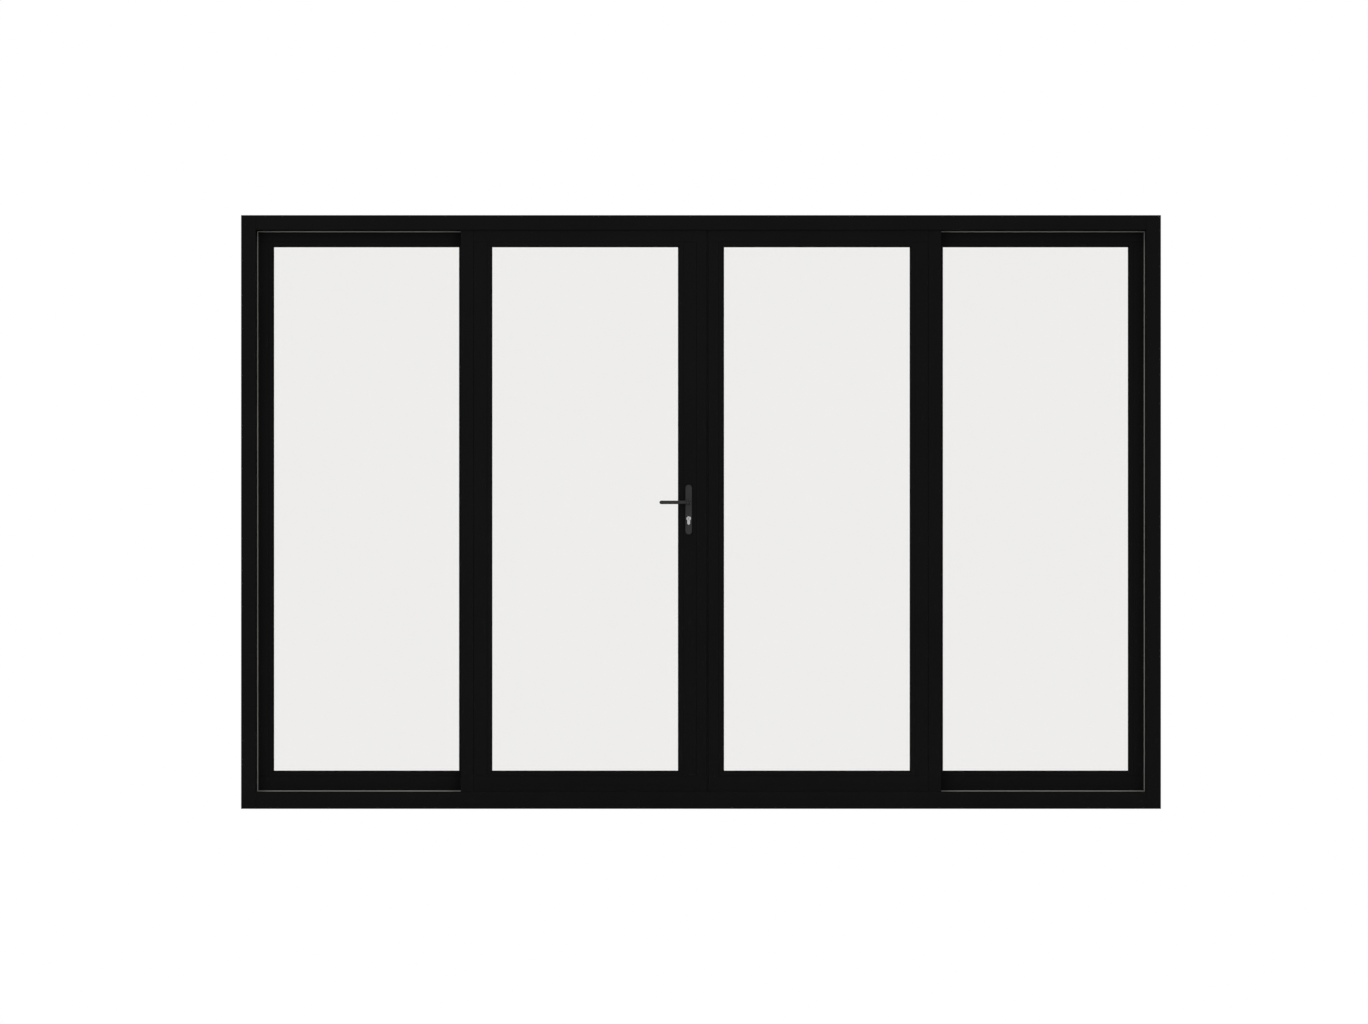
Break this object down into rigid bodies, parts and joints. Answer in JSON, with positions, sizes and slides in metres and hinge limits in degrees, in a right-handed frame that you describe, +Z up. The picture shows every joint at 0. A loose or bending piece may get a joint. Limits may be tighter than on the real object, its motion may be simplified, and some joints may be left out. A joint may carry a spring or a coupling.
{
  "type": "sliding patio door",
  "caption": "Wide glass sliding patio door with fixed side panels, sliding middle panels on a rail, interlocking stiles and a lever handle with a key lock",
  "frame": {"origin": "centre of the sill's flat underside, midway through the frame's depth", "axes": "+X runs to the right seen from the side of the sliding panels, +Y runs through the depth towards the fixed panels, +Z up"},
  "size_m": [3.3, 0.17, 2.13],
  "materials": {
    "black_frame": "satin black powder coat on aluminium",
    "clear_glass": "clear double glazing",
    "spacer_bar": "matt dark warm-edge bar",
    "black_rubber": "matt black rubber",
    "grey_sealant": "matt warm grey sealant",
    "steel_rail": "brushed stainless steel",
    "roller_plastic": "matt dark plastic",
    "nickel": "satin nickel",
    "plate_black": "satin dark grey paint",
    "lever_black": "satin black paint"
  },
  "bodies": {
    "frame": {"fixed_beads": "black_frame", "fixed_gaskets": "black_rubber", "fixed_interlocks": "black_frame", "fixed_panel_seats": "black_frame", "fixed_spacers": "spacer_bar", "front_lips": "black_frame", "head": "black_frame", "head_guide": "black_frame", "left_fixed_bottom_rail": "black_frame", "left_fixed_glass": "clear_glass", "left_fixed_interlock_stile": "black_frame", "left_fixed_jamb_stile": "black_frame", "left_fixed_top_rail": "black_frame", "left_jamb": "black_frame", "perimeter_seals": "grey_sealant", "right_fixed_bottom_rail": "black_frame", "right_fixed_glass": "clear_glass", "right_fixed_interlock_stile": "black_frame", "right_fixed_jamb_stile": "black_frame", "right_fixed_top_rail": "black_frame", "right_jamb": "black_frame", "running_rail": "steel_rail", "sill": "black_frame", "track_stops": "black_rubber"},
    "left_slider": {"astragal": "black_frame", "astragal_tongue": "black_frame", "handle_plates": "plate_black", "left_slider_beads": "black_frame", "left_slider_bottom_rail": "black_frame", "left_slider_gaskets": "black_rubber", "left_slider_glass": "clear_glass", "left_slider_interlock": "black_frame", "left_slider_interlock_stile": "black_frame", "left_slider_meeting_stile": "black_frame", "left_slider_rollers": "roller_plastic", "left_slider_spacer": "spacer_bar", "left_slider_top_rail": "black_frame", "lock_cylinder": "nickel"},
    "right_slider": {"right_slider_beads": "black_frame", "right_slider_bottom_rail": "black_frame", "right_slider_gaskets": "black_rubber", "right_slider_glass": "clear_glass", "right_slider_groove_cheeks": "black_frame", "right_slider_interlock": "black_frame", "right_slider_interlock_stile": "black_frame", "right_slider_meeting_stile": "black_frame", "right_slider_rollers": "roller_plastic", "right_slider_spacer": "spacer_bar", "right_slider_top_rail": "black_frame"},
    "lever": {"lever_handle": "lever_black"}
  },
  "joints": [
    {"name": "left_slide", "type": "slide", "parent": "frame", "child": "left_slider", "axis": [-1, 0, 0], "range_m": [0, 0.64]},
    {"name": "right_slide", "type": "slide", "parent": "frame", "child": "right_slider", "axis": [1, 0, 0], "range_m": [0, 0.64]},
    {"name": "lever_turn", "type": "hinge", "parent": "left_slider", "child": "lever", "pos_m": [-0.0441, -0.035, 1.0996], "axis": [0, 1, 0], "range_deg": [-35, 35], "stiffness_Nm_per_rad": 1}
  ]
}
